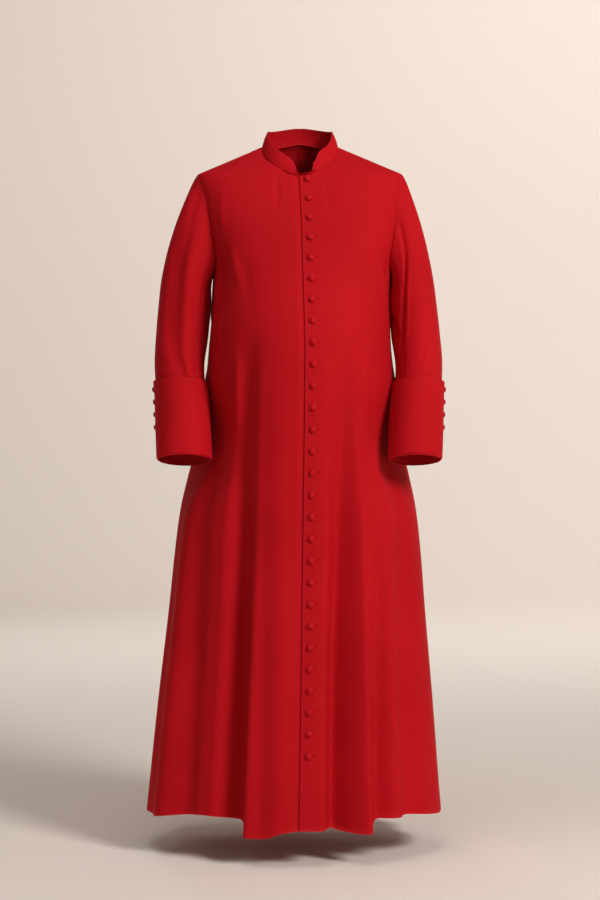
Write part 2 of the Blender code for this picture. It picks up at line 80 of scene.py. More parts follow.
FRONT_BUTTONS = 28
BUTTON_INSET = 0.0165
CUFF_BUTTONS = 4
CUFF_BUTTON_PITCH = 0.0270
CUFF_BUTTON_TURN = 14.0  # degrees from the cuff's opening
FIRST_CUFF_BUTTON = 0.0125  # below the cuff's upper edge
FLOOR = -1.510
BODY_GIRTH_RADIUS = 0.200  # creases on the body are measured on a tube of this radius
SLEEVE_GIRTH_RADIUS = 0.058
SEAM_GROOVE = 0.0005
# also the width of the painted shade along each seam
SEAM_GROOVE_WIDTH = 0.0045
# the band along free edges that gets a painted highlight and lower roughness
EDGE_HIGHLIGHT_WIDTH = 0.003
CUFF_ROLL = 0.0026  # the cuff's lower edge rolls under the sleeve's end
BACK_DIP = 0.0035  # the collar's top edge is rounded off by this at the centre back
COLLAR_TUCK = 0.0035  # the collar goes this far down inside its seam
BUTTONHOLE_LENGTH = 0.0125
BUTTONHOLE_HALF_WIDTH = 0.0011

LEFT_NECK = 58.0  # degrees of the neck from the shoulder that are evenly divided, by piece
RIGHT_NECK = 74.0
BACK_NECK = 82.0
SIDE_BACK_SEAM = 120.0  # degrees round the neck
SHOULDER_PULL = 0.009  # the armhole seam sits this far in from the shoulder's tip
ROPE_END = 0.14  # the share of the sleeve head that rolls over the tip
STITCH_INSET = 0.006
STITCH_HALF_WIDTH = 0.0006
STITCH_LENGTH = 0.0030
TWILL_PITCH = 0.0011
THREAD_PITCH = 0.0006
WAVE_PERIOD = 0.314  # a wave texture's period at a scale of 1

# Colours
CLOTH_LIGHT = (0.540, 0.0060, 0.0128, 1.0)
CLOTH_DARK = (0.475, 0.0046, 0.0100, 1.0)
CLOTH_DEEP = (0.250, 0.0016, 0.0034, 1.0)
# the colour of the painted highlight along free edges
CLOTH_EDGE_HIGHLIGHT = (0.610, 0.0120, 0.0180, 1.0)
SHEEN_RED = (1.0, 0.10, 0.11, 1.0)
PAPER = (0.940, 0.860, 0.790, 1.0)
AIR = (1.0, 0.955, 0.91, 1.0)

# The studio
AIR_STRENGTH = 0.11
STUDIO_RADIUS = 9.0
SWEEP_RADIUS = 2.5
STUDIO_TOP = 4.5
CAMERA_DISTANCE = 4.0
CAMERA_HEIGHT = -0.657
LENS = 73.8

# Grid counts
SHOULDER_COLUMNS = 52
NECK_COLUMNS = 26
SKIRT_ROWS = 120
ARMHOLE_ROWS = 54
SLEEVE_HEAD_ROWS = 44
ARM_ROWS = 56
TOP_SLEEVE_COLUMNS = 64
UNDER_SLEEVE_COLUMNS = 46
CUFF_COLUMNS = 110
CUFF_ROWS = 36
CUFF_ROLL_ROWS = 5
COLLAR_COLUMNS = 130
COLLAR_ROWS = 14
HALVINGS = 40  # of the search for a height

Section = namedtuple("Section", "z centre_x centre_y half_width front back roundness")
BODY = [
    Section(-1.470, -0.0135, 0.000, 0.3220, 0.245, 0.238, 2.2),
    Section(-1.403, -0.0130, 0.000, 0.3155, 0.240, 0.232, 2.2),
    Section(-1.195, -0.0100, 0.005, 0.2970, 0.232, 0.207, 2.2),
    Section(-0.987, -0.0065, 0.012, 0.2765, 0.228, 0.178, 2.2),
    Section(-0.883, -0.0050, 0.016, 0.2675, 0.228, 0.162, 2.15),
    Section(-0.779, -0.0040, 0.020, 0.2555, 0.229, 0.145, 2.1),
    Section(-0.660, -0.0025, 0.028, 0.2310, 0.2335, 0.122, 2.0),
    Section(-0.600, -0.0015, 0.028, 0.2210, 0.2325, 0.112, 2.0),
    Section(-0.507, 0.0005, 0.020, 0.2080, 0.2235, 0.106, 2.1),
    Section(-0.484, 0.0005, 0.016, 0.2030, 0.2190, 0.107, 2.15),
    Section(-0.440, 0.0000, 0.010, 0.1980, 0.2110, 0.110, 2.2),
    Section(-0.397, 0.0010, 0.005, 0.1945, 0.1990, 0.114, 2.25),
    Section(-0.319, 0.0030, 0.000, 0.1905, 0.1775, 0.118, 2.3),
    Section(-0.270, 0.0055, 0.000, 0.1900, 0.1620, 0.122, 2.35),
    Section(-0.217, 0.0065, 0.000, 0.2010, 0.1435, 0.125, 2.45),
    Section(-0.165, 0.0060, 0.000, 0.2125, 0.1215, 0.122, 2.6),
    Section(-0.106, 0.0030, 0.000, 0.2205, 0.0925, 0.112, 2.75),
    Section(-0.073, 0.0, 0.000, 0.2260, 0.0755, 0.101, 2.7),
    Section(-0.048, 0.0, 0.000, 0.228, 0.0575, 0.090, 2.4),
    Section(-0.028, 0.0, 0.000, 0.228, 0.0335, 0.082, 2.2),
    Section(0.000, 0.0, 0.000, 0.228, 0.0100, 0.072, 2.0),
    Section(0.016, 0.0, 0.000, 0.228, 0.0060, 0.058, 2.0),
    Section(0.040, 0.0, 0.000, 0.228, 0.0040, 0.035, 2.0),
]

# The front edge that shows, from the hem to the neck
Edge = namedtuple("Edge", "z x")
FRONT_EDGE = [
    Edge(-1.470, -0.0020),
    Edge(-1.170, 0.0029),
    Edge(-0.884, 0.0062),
    Edge(-0.574, 0.0103),
    Edge(-0.442, 0.0114),
    Edge(-0.356, 0.0091),
    Edge(-0.260, 0.0063),
    Edge(-0.180, 0.0042),
    Edge(-0.107, 0.0010),
    Edge(-0.060, -0.0020),
]

ButtonRow = namedtuple("ButtonRow", "number z")
BUTTON_ROWS = [
    ButtonRow(1, -0.0812),
    ButtonRow(5, -0.2558),
    ButtonRow(10, -0.4794),
    ButtonRow(20, -0.9290),
    ButtonRow(FRONT_BUTTONS, -1.2820),
]

# Folds that hang to the hem, outward where the depth is positive; a lean pushes a fold's crest sideways
Fold = namedtuple("Fold", "top_angle hem_angle top_z half_angle depth lean", defaults=(0.0,))
FOLDS = [
    Fold(-11.0, -7.5, -0.40, 10.0, 0.008),
    Fold(-30.0, -32.0, -0.39, 11.0, -0.056),
    Fold(-22.0, -21.0, -0.80, 5.5, 0.007, -0.005),
    Fold(-42.0, -43.0, -0.46, 9.0, -0.018),
    Fold(-54.0, -54.0, -0.50, 12.0, -0.026),
    Fold(-66.0, -66.0, -0.62, 9.0, 0.008),
    Fold(-76.0, -76.0, -0.70, 8.0, -0.006),
    Fold(23.5, 23.0, -0.44, 10.0, -0.052),
    Fold(31.0, 32.5, -0.56, 6.0, 0.013, 0.010),
    Fold(42.5, 41.5, -0.72, 5.5, -0.019),
    Fold(51.0, 50.0, -0.68, 6.0, 0.004),
    Fold(59.0, 58.0, -0.60, 10.0, -0.020),
    Fold(75.0, 75.0, -0.75, 9.0, 0.003),
    Fold(104.0, 103.0, -0.62, 10.0, -0.016),
    Fold(121.0, 119.0, -0.50, 11.0, 0.018, -0.006),
    Fold(139.0, 138.0, -0.56, 10.0, -0.020),
    Fold(156.0, 157.0, -0.46, 12.0, 0.016, 0.004),
    Fold(-179.0, -178.0, -0.58, 10.0, -0.014),
    Fold(-161.0, -162.0, -0.52, 11.0, 0.019, -0.007),
    Fold(-143.0, -143.0, -0.60, 10.0, -0.018),
    Fold(-125.0, -124.0, -0.48, 11.0, 0.016, 0.005),
    Fold(-107.0, -106.0, -0.64, 9.0, -0.014),
]

# Where a forearm presses the skirt in
Press = namedtuple("Press", "angle z half_angle half_height depth")
PRESSES = [
    Press(60.0, -0.655, 36.0, 0.170, -0.023),
    Press(-60.0, -0.655, 36.0, 0.170, -0.031),
]

# How far the hem hangs below its own level
Drop = namedtuple("Drop", "angle drop")
HEM_DROPS = [
    Drop(-180.0, 0.000),
    Drop(-120.0, 0.000),
    Drop(-90.0, -0.004),
    Drop(-75.0, -0.004),
    Drop(-54.0, -0.018),
    Drop(-44.0, -0.021),
    Drop(-32.0, -0.011),
    Drop(-24.0, 0.013),
    Drop(-15.0, 0.016),
    Drop(-4.0, 0.003),
    Drop(3.0, 0.001),
    Drop(17.0, 0.001),
    Drop(31.0, 0.010),
    Drop(36.0, 0.005),
    Drop(43.0, -0.017),
    Drop(55.0, -0.017),
    Drop(77.0, -0.006),
    Drop(90.0, -0.004),
    Drop(120.0, 0.000),
    Drop(180.0, 0.000),
]

Arm = namedtuple("Arm", "z centre_x centre_y half_width half_depth tilt left_slim")
ARM = [
    Arm(-0.690, 0.2430, -0.1120, 0.0540, 0.060, 0.20, 0.0012),
    Arm(-0.620, 0.2465, -0.0900, 0.0540, 0.061, 0.18, 0.0015),
    Arm(-0.550, 0.2515, -0.0660, 0.0535, 0.062, 0.15, 0.0020),
    Arm(-0.505, 0.2570, -0.0480, 0.0530, 0.063, 0.12, 0.0030),
    Arm(-0.462, 0.2600, -0.0330, 0.0525, 0.064, 0.08, 0.0035),
    Arm(-0.397, 0.2570, -0.0140, 0.0530, 0.066, 0.03, 0.0045),
    Arm(-0.320, 0.2500, -0.0040, 0.0540, 0.069, 0.0, 0.0055),
]
ARM_TOP = -0.320
HEAD_LEAVES = {1: 0.27, -1: 0.35}

# Soft creases, each along a line from its head to its foot. On the body a place is (degrees, z), on a
# sleeve it is (degrees of turn, metres down from the armhole seam). The half width, bow and depth are
# metres, outward where the depth is positive, and the fades are the shares of its length it grows over.
Crease = namedtuple("Crease", "head foot half_width depth fade_in fade_out bow", defaults=(0.0,))
BODY_CREASES = [
    Crease((-72, -0.100), (-88, -0.255), 0.011, -0.0040, 0.4, 0.2),
    Crease((-99, -0.230), (-99, -0.390), 0.040, 0.0070, 0.2, 0.15),
    Crease((98, -0.215), (98, -0.400), 0.045, 0.0090, 0.15, 0.15),
    Crease((-68, -0.205), (-60, -0.400), 0.042, -0.0110, 0.5, 0.55, 0.004),
    Crease((-56, -0.210), (-40, -0.330), 0.018, 0.0040, 0.4, 0.5, -0.004),
    Crease((-44, -0.235), (-30, -0.385), 0.020, -0.0018, 0.4, 0.5),
    Crease((-68, -0.075), (-60, -0.215), 0.012, 0.0022, 0.3, 0.5),
    Crease((-70, -0.040), (-52, -0.130), 0.016, -0.0022, 0.3, 0.5),
    Crease((-35, -0.055), (-22, -0.180), 0.018, -0.0025, 0.4, 0.6),
    Crease((54, -0.225), (70, -0.350), 0.014, 0.0045, 0.4, 0.4),
    Crease((66, -0.240), (76, -0.355), 0.020, -0.0050, 0.5, 0.5),
    Crease((35, -0.060), (24, -0.190), 0.020, -0.0018, 0.4, 0.6),
    Crease((-37, -0.440), (-36, -0.640), 0.015, 0.0050, 0.4, 0.3),
    Crease((37, -0.450), (39, -0.660), 0.018, 0.0035, 0.4, 0.4),
    Crease((-59, -0.330), (-58, -0.480), 0.020, 0.0035, 0.4, 0.4),
    Crease((115, -0.150), (98, -0.290), 0.014, -0.0045, 0.4, 0.4),
    Crease((-114, -0.160), (-98, -0.300), 0.015, -0.0050, 0.4, 0.4),
    Crease((132, -0.260), (108, -0.390), 0.017, -0.0045, 0.4, 0.4, 0.004),
    Crease((-135, -0.250), (-110, -0.380), 0.016, -0.0040, 0.4, 0.4, -0.004),
    Crease((150, -0.060), (160, -0.230), 0.020, -0.0025, 0.4, 0.5),
    Crease((-152, -0.060), (-162, -0.240), 0.020, -0.0025, 0.4, 0.5),
]
SLEEVE_CREASES = {
    1: [
        Crease((180, 0.004), (172, 0.235), 0.075, 0.0085, 0.35, 0.45),
        Crease((86, 0.004), (118, 0.115), 0.011, -0.0050, 0.2, 0.3),
        Crease((112, 0.085), (146, 0.215), 0.012, -0.0055, 0.3, 0.4),
        Crease((96, 0.060), (128, 0.230), 0.012, 0.0025, 0.3, 0.5),
        Crease((30, 0.006), (66, 0.150), 0.018, -0.0020, 0.3, 0.6),
        Crease((170, 0.080), (138, 0.190), 0.011, -0.0050, 0.3, 0.4),
        Crease((60, 0.250), (96, 0.330), 0.016, -0.0020, 0.4, 0.5),
        Crease((-70, 0.020), (-104, 0.150), 0.014, -0.0045, 0.3, 0.4),
        Crease((-30, 0.170), (-80, 0.250), 0.015, -0.0040, 0.4, 0.4),
        Crease((-60, 0.290), (-120, 0.240), 0.014, -0.0035, 0.4, 0.4),
    ],
    -1: [
        Crease((180, 0.004), (172, 0.235), 0.075, 0.0075, 0.35, 0.45),
        Crease((96, 0.012), (124, 0.380), 0.027, 0.0075, 0.25, 0.25, 0.004),
        Crease((44, 0.008), (76, 0.110), 0.016, -0.0030, 0.2, 0.6),
        Crease((64, 0.050), (74, 0.370), 0.034, -0.0060, 0.35, 0.25),
        Crease((150, 0.060), (176, 0.150), 0.014, -0.0050, 0.3, 0.4),
        Crease((98, 0.285), (106, 0.335), 0.012, -0.0018, 0.4, 0.4),
        Crease((-72, 0.020), (-104, 0.150), 0.014, -0.0045, 0.3, 0.4),
        Crease((-35, 0.160), (-84, 0.240), 0.015, -0.0040, 0.4, 0.4),
        Crease((-60, 0.300), (-118, 0.250), 0.014, -0.0035, 0.4, 0.4),
    ],
}

# What each piece of cloth was cut to: flat width and length, and its flat area
Cut = namedtuple("Cut", "width length area held")


# ---------------------------------------------------------------- curves and surfaces
def smooth_curve(points):
    """A cubic through (x, y) points in order of x, with no bumps between them."""
    xs = [x for x, _ in points]
    ys = [y for _, y in points]
    steps = [b - a for a, b in zip(xs, xs[1:])]
    slopes = [(b - a) / step for a, b, step in zip(ys, ys[1:], steps)]
    tangents = [slopes[0]] + [0.0] * (len(slopes) - 1) + [slopes[-1]]
    for i in range(1, len(slopes)):
        if slopes[i - 1] * slopes[i] > 0:
            near, far = 2 * steps[i] + steps[i - 1], steps[i] + 2 * steps[i - 1]
            tangents[i] = (near + far) / (near / slopes[i - 1] + far / slopes[i])

    def value(x):
        x = min(max(x, xs[0]), xs[-1])
        i = min(bisect.bisect_right(xs, x), len(xs) - 1) - 1
        t = (x - xs[i]) / steps[i]
        rise = t * t * (3 - 2 * t)
        lean = steps[i] * t * (1 - t) * ((1 - t) * tangents[i] - t * tangents[i + 1])
        return (1 - rise) * ys[i] + rise * ys[i + 1] + lean

    return value


def column(rows, name):
    return smooth_curve([(row[0], getattr(row, name)) for row in rows])


centre_x = column(BODY, "centre_x")
centre_y = column(BODY, "centre_y")
table_half_width = column(BODY, "half_width")
front_depth = column(BODY, "front")
back_depth = column(BODY, "back")
roundness = column(BODY, "roundness")
edge_x = column(FRONT_EDGE, "x")
hem_drop = column(HEM_DROPS, "drop")
button_height = column(BUTTON_ROWS, "z")
arm_x = column(ARM, "centre_x")
arm_y = column(ARM, "centre_y")
arm_half_width = column(ARM, "half_width")
arm_half_depth = column(ARM, "half_depth")
arm_tilt = column(ARM, "tilt")
arm_slim = column(ARM, "left_slim")


def eased(t):
    t = min(max(t, 0.0), 1.0)
    return t * t * (3 - 2 * t)


def half_width(z):
    """The shoulder seam is straight down to its tip, and the table gives the sides below it."""
    if z > -SHOULDER_DROP:
        return max(NECK_HALF_WIDTH - z / SHOULDER_SLOPE, 0.02)
    return table_half_width(z)


def degrees_apart(a, b):
    return (a - b + 180.0) % 360.0 - 180.0


def bell(offset):
    return math.cos(offset * math.pi / 2) ** 2 if abs(offset) < 1 else 0.0


def crease_depth(creases, across, down):
    """How far all of these creases move the cloth at a place given in metres."""
    total = 0.0
    for crease in creases:
        run_across = crease.foot[0] - crease.head[0]
        run_down = crease.foot[1] - crease.head[1]
        length = math.hypot(run_across, run_down)
        step_across, step_down = run_across / length, run_down / length
        from_head = (across - crease.head[0], down - crease.head[1])
        along = (from_head[0] * step_across + from_head[1] * step_down) / length
        if not 0.0 < along < 1.0:
            continue
        aside = from_head[1] * step_across - from_head[0] * step_down
        aside -= crease.bow * 4 * along * (1 - along)
        if abs(aside) >= crease.half_width:
            continue
        fade = eased(along / crease.fade_in) if crease.fade_in else 1.0
        if crease.fade_out:
            fade *= eased((1 - along) / crease.fade_out)
        total += crease.depth * fade * bell(aside / crease.half_width)
    return total


def in_metres(creases, girth_radius):
    """The same creases with their degrees turned to metres round the girth."""
    scale = math.radians(1) * girth_radius
    return [
        crease._replace(
            head=(crease.head[0] * scale, crease.head[1]),
            foot=(crease.foot[0] * scale, crease.foot[1]),
        )
        for crease in creases
    ]


BODY_LINES = in_metres(BODY_CREASES, BODY_GIRTH_RADIUS)
SLEEVE_LINES = {side: in_metres(SLEEVE_CREASES[side], SLEEVE_GIRTH_RADIUS) for side in (1, -1)}


def fold_offsets(angle, z):
    """(outward, sideways) of the hanging folds, the forearms' pressure and the creases."""
    degrees = math.degrees(angle)
    outward = sideways = 0.0
    for fold in FOLDS:
        down = min((fold.top_z - z) / (fold.top_z - HEM), 1.0)
        if down <= 0:
            continue
        middle = fold.top_angle + (fold.hem_angle - fold.top_angle) * down
        across = bell(degrees_apart(degrees, middle) / fold.half_angle)
        grown = math.sin(down * math.pi / 2)
        outward += fold.depth * grown * across
        sideways += fold.lean * grown * across
    for press in PRESSES:
        across = bell(degrees_apart(degrees, press.angle) / press.half_angle)
        outward += press.depth * across * bell((z - press.z) / press.half_height)
    outward += crease_depth(BODY_LINES, angle * BODY_GIRTH_RADIUS, z)
    return outward, sideways


def body_point(angle, z):
    """A point of the outer face of the body's cloth."""
    sine, cosine = math.sin(angle), math.cos(angle)
    depth = front_depth(z) if cosine > 0 else back_depth(z)
    power = roundness(z)
    reach = (abs(sine) / half_width(z)) ** power + (abs(cosine) / depth) ** power
    outward, sideways = fold_offsets(angle, z)
    radius = reach ** (-1 / power) + outward
    x = radius * sine + sideways * cosine
    y = -radius * cosine + sideways * sine
    return Vector((centre_x(z) + x, centre_y(z) + y, z))


def angle_at(side, across, z, back):
    """The angle of the body's point that lies this far to a side of the section's centre."""
    power = roundness(z)
    share = min(abs(across) / half_width(z), 1.0)
    depth = (back_depth(z) if back else front_depth(z)) * (1 - share**power) ** (1 / power)
    return side * math.atan2(across, -depth if back else depth)


def neck_level(x, y):
    """The height at which the shoulders' surface passes over a point of the plan."""
    low, high = -0.15, 0.04
    for _ in range(HALVINGS):
        z = (low + high) / 2
        depth = front_depth(z) if y < 0 else back_depth(z)
        power = roundness(z)
        inside = (abs(x) / half_width(z)) ** power + (abs(y) / depth) ** power < 1
        low, high = (z, high) if inside else (low, z)
    return (low + high) / 2


def neck_point(degrees):
    """A point of the neck seam, degrees from the front."""
    sine, cosine = math.sin(math.radians(degrees)), math.cos(math.radians(degrees))
    x = NECK_HALF_WIDTH * sine
    y = -(NECK_FRONT if cosine > 0 else NECK_BACK) * cosine
    return Vector((x, y, neck_level(x, y)))


def armhole_at(turn):
    """(across, z) of the armhole seam; turn is as round a sleeve, in degrees."""
    angle = math.radians(turn)
    middle = (ARMHOLE_LOW - SHOULDER_DROP) / 2
    half = (-SHOULDER_DROP - ARMHOLE_LOW) / 2
    z = middle + half * math.cos(angle)
    return half_width(z) * (1 - ARMHOLE_INSET * abs(math.sin(angle)) ** 1.5), z


def seam_at(turn):
    """(across, z) of the armhole seam, which sits a little in from the edge at the shoulder."""
    across, z = armhole_at(turn)
    near_tip = max(math.cos(math.radians(turn)), 0.0) ** 2
    pull = SHOULDER_PULL * near_tip
    # At the tip it must start on the shoulder's own edge, or the front and back would part there.
    tip = half_width(-SHOULDER_DROP + SHOULDER_PULL * SHOULDER_SLOPE)
    short = tip - (half_width(-SHOULDER_DROP) - SHOULDER_PULL)
    return across - pull + short * near_tip**4, z + pull * SHOULDER_SLOPE


def armhole_angle(side, turn, at=armhole_at):
    """(angle, z) of the armhole's edge or seam in the body's own terms."""
    across, z = at(turn)
    return angle_at(side, across, z, back=math.sin(math.radians(turn)) < 0), z


def arm_point(side, turn, z):
    """A point of the sleeve's outer face, below the sleeve head."""
    angle = math.radians(turn)
    slim = arm_slim(z) if side > 0 else 0.0
    x = arm_x(z) - slim + (arm_half_width(z) - slim) * math.cos(angle)
    forward = arm_half_depth(z) * math.sin(angle)
    return Vector((side * x, arm_y(z) - forward, z + arm_tilt(z) * forward))


def sleeve_reach(side, turn):
    """The length of a sleeve head's line at this turn."""
    return (arm_point(side, turn, ARM_TOP) - body_point(*armhole_angle(side, turn))).length


def plain_sleeve_point(side, turn, along):
    """A sleeve with no creases: along is 0 at the armhole, 1 where the head ends and 2 at the wrist."""
    if along >= 1:
        return arm_point(side, turn, ARM_TOP + (along - 1) * (SLEEVE_END - ARM_TOP))
    start = body_point(*armhole_angle(side, turn))
    end = arm_point(side, turn, ARM_TOP)
    reach = (end - start).length
    sine = math.sin(math.radians(turn))
    leave = Vector((side * (HEAD_LEAVES[side] + 0.55 * abs(sine)), -0.25 * sine, -1.0)).normalized()
    below = arm_point(side, turn, ARM_TOP - 0.01)
    arrive = (below - end).normalized()
    t = along
    bend = leave * (t * (1 - t) ** 2 * reach) - arrive * (t * t * (1 - t) * reach)
    return start.lerp(end, eased(t)) + bend


def sleeve_axis(side, along):
    """The middle of the sleeve at this level, which creases move the cloth from."""
    if along >= 1:
        z = ARM_TOP + (along - 1) * (SLEEVE_END - ARM_TOP)
        return Vector((side * arm_x(z), arm_y(z), z))
    top = Vector((side * 0.200, 0.0, -0.170))
    return top.lerp(Vector((side * arm_x(ARM_TOP), arm_y(ARM_TOP), ARM_TOP)), along)


def rolled_sleeve_point(side, turn, along):
    """The head starts at its seam and rolls over the edge of the shoulder."""
    if along >= ROPE_END:
        return plain_sleeve_point(side, turn, along)
    t = along / ROPE_END
    seam = body_point(*armhole_angle(side, turn, seam_at))
    edge = body_point(*armhole_angle(side, turn))
    below = plain_sleeve_point(side, turn, ROPE_END)
    return seam * (1 - t) ** 2 + edge * (2 * t * (1 - t)) + below * t * t


def sleeve_point(side, turn, along):
    face = rolled_sleeve_point(side, turn, along)
    reach = sleeve_reach(side, turn)
    down = min(along, 1.0) * reach + max(along - 1.0, 0.0) * (ARM_TOP - SLEEVE_END)
    around = math.radians(degrees_apart(turn, 90.0) + 90.0) * SLEEVE_GIRTH_RADIUS
    depth = crease_depth(SLEEVE_LINES[side], around, down)
    return face + (face - sleeve_axis(side, along)).normalized() * depth if depth else face


# ---------------------------------------------------------------- grids of points
def spread(count, start_seam=False, end_seam=False):
    """count + 1 shares from 0 to 1, evenly but for three more close to each seam."""
    near = (0.12, 0.28, 0.55)
    even = count - 3 * (start_seam + end_seam)
    shares = [i / even for i in range(even + 1)]
    if start_seam:
        shares[1:1] = [s / even for s in near]
    if end_seam:
        shares[-1:-1] = [1 - s / even for s in reversed(near)]
    return shares


def patch(start, end, bottom, top, heights):
    """(across, z) pairs that fill the space between four curves, each a list of pairs."""
    grid = []
    for i in range(len(bottom)):
        u = (bottom[i][0] - bottom[0][0]) / (bottom[-1][0] - bottom[0][0])
        line = []
        for j, v in enumerate(heights):
            pair = []
            for k in (0, 1):
                between = (1 - v) * bottom[i][k] + v * top[i][k] + (1 - u) * start[j][k] + u * end[j][k]
                corners = (1 - v) * ((1 - u) * bottom[0][k] + u * bottom[-1][k])
                corners += v * ((1 - u) * top[0][k] + u * top[-1][k])
                pair.append(between - corners)
            line.append(tuple(pair))
        grid.append(line)
    return grid


def row_angles(side, back, offsets, z, columns):
    """Angles of one level's points: at set distances from the front edge, then evenly to the side."""
    middle = 0.0 if back else side * (edge_x(z) - centre_x(z))
    angles = [side * angle_at(side, middle + side * offset, z, back) for offset in offsets]
    last = angles[-1]
    shares = spread(columns - len(offsets) + 1, end_seam=True)[1:]
    angles += [last + (math.pi / 2 - last) * share for share in shares]
    return [side * angle for angle in angles]


def body_grid(side, back, offsets, neck_angles):
    """(angle, z) of a panel's grid points, from its centre line to its side, from hem to shoulder."""
    columns = len(neck_angles) - 1 + SHOULDER_COLUMNS

    def start_across(z):
        return side * offsets[0] + (0.0 if back else side * (edge_x(z) - centre_x(z)))

    low = [body_point(angle, ARMHOLE_LOW) for angle in row_angles(side, back, offsets, ARMHOLE_LOW, columns)]
    bottom = [(side * (p.x - centre_x(ARMHOLE_LOW)), ARMHOLE_LOW) for p in low]
    shares = spread(ARMHOLE_ROWS, end_seam=True)
    end = [seam_at(180.0 * (1 - share)) for share in shares]
    neck = [neck_point(side * a) for a in neck_angles]
    top = [(side * (p.x - centre_x(p.z)), p.z) for p in neck]
    for share in spread(SHOULDER_COLUMNS, end_seam=True)[1:]:
        z = end[-1][1] * share
        top.append((half_width(z), z))
    heights = [(z - ARMHOLE_LOW) / (end[-1][1] - ARMHOLE_LOW) for _, z in end]
    start = [(start_across(z), z) for z in (ARMHOLE_LOW + s * (top[0][1] - ARMHOLE_LOW) for s in heights)]
    upper = patch(start, end, bottom, top, shares)
    grid = [[] for _ in range(columns + 1)]
    for row in range(SKIRT_ROWS, 0, -1):
        down = (row / SKIRT_ROWS) ** 1.25
        level = ARMHOLE_LOW + down * (HEM - ARMHOLE_LOW)
        for i, angle in enumerate(row_angles(side, back, offsets, level, columns)):
            grid[i].append((angle, level - hem_drop(math.degrees(angle)) * down**3))
    for i, line in enumerate(upper):
        grid[i] += [(angle_at(side, across, z, back), z) for across, z in line]
    return grid


def directions(points, sign):
    """The outward direction at every point of a grid; sign is -1 where its columns run the other way."""
    columns, rows = len(points), len(points[0])
    leans = []
    for i in range(columns):
        line = []
        for j in range(rows):
            along = points[min(i + 1, columns - 1)][j] - points[max(i - 1, 0)][j]
            up = points[i][min(j + 1, rows - 1)] - points[i][max(j - 1, 0)]
            line.append(along.cross(up).normalized() * sign)
        leans.append(line)
    return leans


def run_lengths(points):
    """Metres across from the first column and up from the first row, at every point of a grid."""
    across = [[0.0] * len(points[0])]
    for before, line in zip(points, points[1:]):
        across.append([run + (b - a).length for run, a, b in zip(across[-1], before, line)])
    up = []
    for line in points:
        up.append([0.0])
        for a, b in zip(line, line[1:]):
            up[-1].append(up[-1][-1] + (b - a).length)
    return across, up


# ---------------------------------------------------------------- pieces
def put_in_scene(name, data):
    made = bpy.data.objects.new(name, data)
    bpy.context.scene.collection.objects.link(made)
    return made


def place(name, mesh, finish):
    """Makes an object of a finished mesh, which rides with the garment."""
    bmesh.ops.recalc_face_normals(mesh, faces=mesh.faces[:])
    if mesh.calc_volume(signed=True) < 0:
        bmesh.ops.reverse_faces(mesh, faces=mesh.faces[:])
    data = bpy.data.meshes.new(name)
    mesh.to_mesh(data)
    mesh.free()
    data.materials.append(finish)
    data.shade_smooth()
    data.set_sharp_from_angle(angle=math.radians(60))
    piece = put_in_scene(name, data)
    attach(piece, "root")
    return piece


def cloth_sheet(name, points, sign, sewn=(), stitched="", wall=CLOTH):
    """A sheet of cloth over a grid of points, with a wall and a rounded rim.

    sewn names the sides (start, end, bottom, top) that end in a seam, where the cloth is pulled in;
    stitched names the side that a line of stitches runs beside.
    """
    columns, rows = len(points) - 1, len(points[0]) - 1
    leans = directions(points, sign)
    across, up = run_lengths(points)
    mesh = bmesh.new()
    bmesh.ops.create_grid(mesh, x_segments=columns, y_segments=rows, size=0.5)
    skin = bmesh.ops.extrude_face_region(mesh, geom=mesh.faces[:])
    inner = [v for v in skin["geom"] if isinstance(v, bmesh.types.BMVert)]
    bmesh.ops.translate(mesh, verts=inner, vec=(0, 0, -1))
    rim = [e for e in mesh.edges if abs(e.calc_face_angle(0.0)) > 1.0]
    weave = mesh.loops.layers.uv.new("weave")
    seam = mesh.verts.layers.float.new("seam")
    fold = mesh.verts.layers.float.new("edge")
    from_stitched = mesh.verts.layers.float.new("from_stitched")
    along_stitches = mesh.verts.layers.float.new("along_stitches")
    index = {}
    for vertex in mesh.verts:
        i = round((vertex.co.x + 0.5) * columns)
        j = round((vertex.co.y + 0.5) * rows)
        gaps = {
            "start": across[i][j],
            "end": across[-1][j] - across[i][j],
            "bottom": up[i][j],
            "top": up[i][-1] - up[i][j],
        }
        sewn_gap = min([gaps[side] for side in sewn], default=1.0)
        free_gap = min([gaps[side] for side in gaps if side not in sewn], default=1.0)
        # seam weight: pulls the cloth into a groove here, and the cloth finish paints shade along it
        vertex[seam] = 1 - eased(sewn_gap / SEAM_GROOVE_WIDTH)
        # edge weight: a band along free edges that the cloth finish paints lighter, a painted highlight
        vertex[fold] = 1 - eased(free_gap / EDGE_HIGHLIGHT_WIDTH)
        if stitched:
            vertex[from_stitched] = min(gaps[stitched], 0.05)
            vertex[along_stitches] = up[i][j] if stitched in ("start", "end") else across[i][j]
        else:
            vertex[from_stitched] = 0.05
        sunk = SEAM_GROOVE * vertex[seam] + (wall if vertex.co.z < -0.5 else 0.0)
        vertex.co = points[i][j] - leans[i][j] * sunk
        index[vertex] = (across[i][j], up[i][j])
    for face in mesh.faces:
        for loop in face.loops:
            loop[weave].uv = index[loop.vert]
    bmesh.ops.bevel(
        mesh, geom=rim, offset=RIM, segments=2, profile=0.5, affect="EDGES", material=-1, clamp_overlap=True
    )
    return place(name, mesh, red_cloth)


# ---------------------------------------------------------------- the body
def under_wrap_sink(angle, z):
    """How far the right front lies in, so that it passes under the left one."""
    inward = (body_point(angle, z).x - edge_x(z) + SINK_START) / (SINK_START - SINK_END)
    return UNDER_WRAP_SINK * eased(inward)


def neck_angle(offset):
    """Degrees round the neck of a point at this distance from the front edge."""
    return math.degrees(math.asin((edge_x(-NECK_FRONT) + offset) / NECK_HALF_WIDTH))


